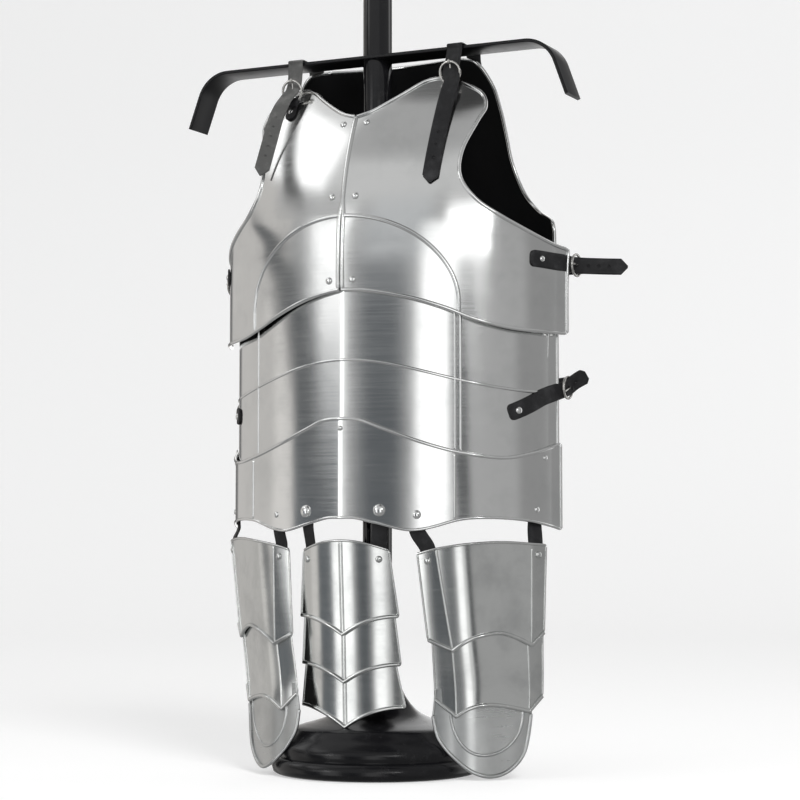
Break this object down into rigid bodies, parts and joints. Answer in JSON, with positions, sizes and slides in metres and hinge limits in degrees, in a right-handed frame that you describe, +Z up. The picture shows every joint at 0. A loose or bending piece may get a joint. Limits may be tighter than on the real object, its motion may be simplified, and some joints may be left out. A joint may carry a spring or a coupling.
{
  "type": "steel cuirass with tassets on a display stand",
  "caption": "Polished steel cuirass with waist plates and hanging tassets on leather straps, held by its shoulders on a crossbar display stand.",
  "frame": {"origin": "centre of the underside of the stand's base, on the floor", "axes": "+Z up, -Y the way the chest faces, +X to the wearer's left"},
  "size_m": [0.5461, 0.2514, 0.962],
  "materials": {
    "steel": "polished steel, hand rubbed",
    "buckle_metal": "nickel plated wire",
    "leather": "black, semi-matte",
    "lacquer": "gloss black"
  },
  "bodies": {
    "root": {"breast_plate_left": "steel", "breast_plate_right": "steel", "breast_seam_strip": "steel", "waist_plate": "steel", "fauld_plate": "steel", "back_plate": "steel", "shoulder_strap_left": "leather", "shoulder_buckle_left": "buckle_metal", "shoulder_tab_left": "leather", "upper_strap_left": "leather", "upper_buckle_left": "buckle_metal", "upper_tab_left": "leather", "lower_strap_left": "leather", "lower_buckle_left": "buckle_metal", "lower_tab_left": "leather", "tasset_left_lame_1": "steel", "tasset_left_lame_2": "steel", "tasset_left_lame_3": "steel", "shoulder_strap_right": "leather", "shoulder_buckle_right": "buckle_metal", "shoulder_tab_right": "leather", "upper_strap_right": "leather", "upper_buckle_right": "buckle_metal", "upper_tab_right": "leather", "lower_strap_right": "leather", "lower_buckle_right": "buckle_metal", "lower_tab_right": "leather", "tasset_right_lame_1": "steel", "tasset_right_lame_2": "steel", "tasset_right_lame_3": "steel", "tasset_centre_lame_1": "steel", "tasset_centre_lame_2": "steel", "tasset_centre_lame_3": "steel", "hanger_centre_right": "leather", "hanger_centre_left": "leather", "hanger_left_inner": "leather", "hanger_left_outer": "leather", "hanger_right_inner": "leather", "hanger_right_outer": "leather", "stand_pole": "lacquer", "stand_crossbar": "lacquer", "stand_base": "lacquer"}
  },
  "joints": []
}
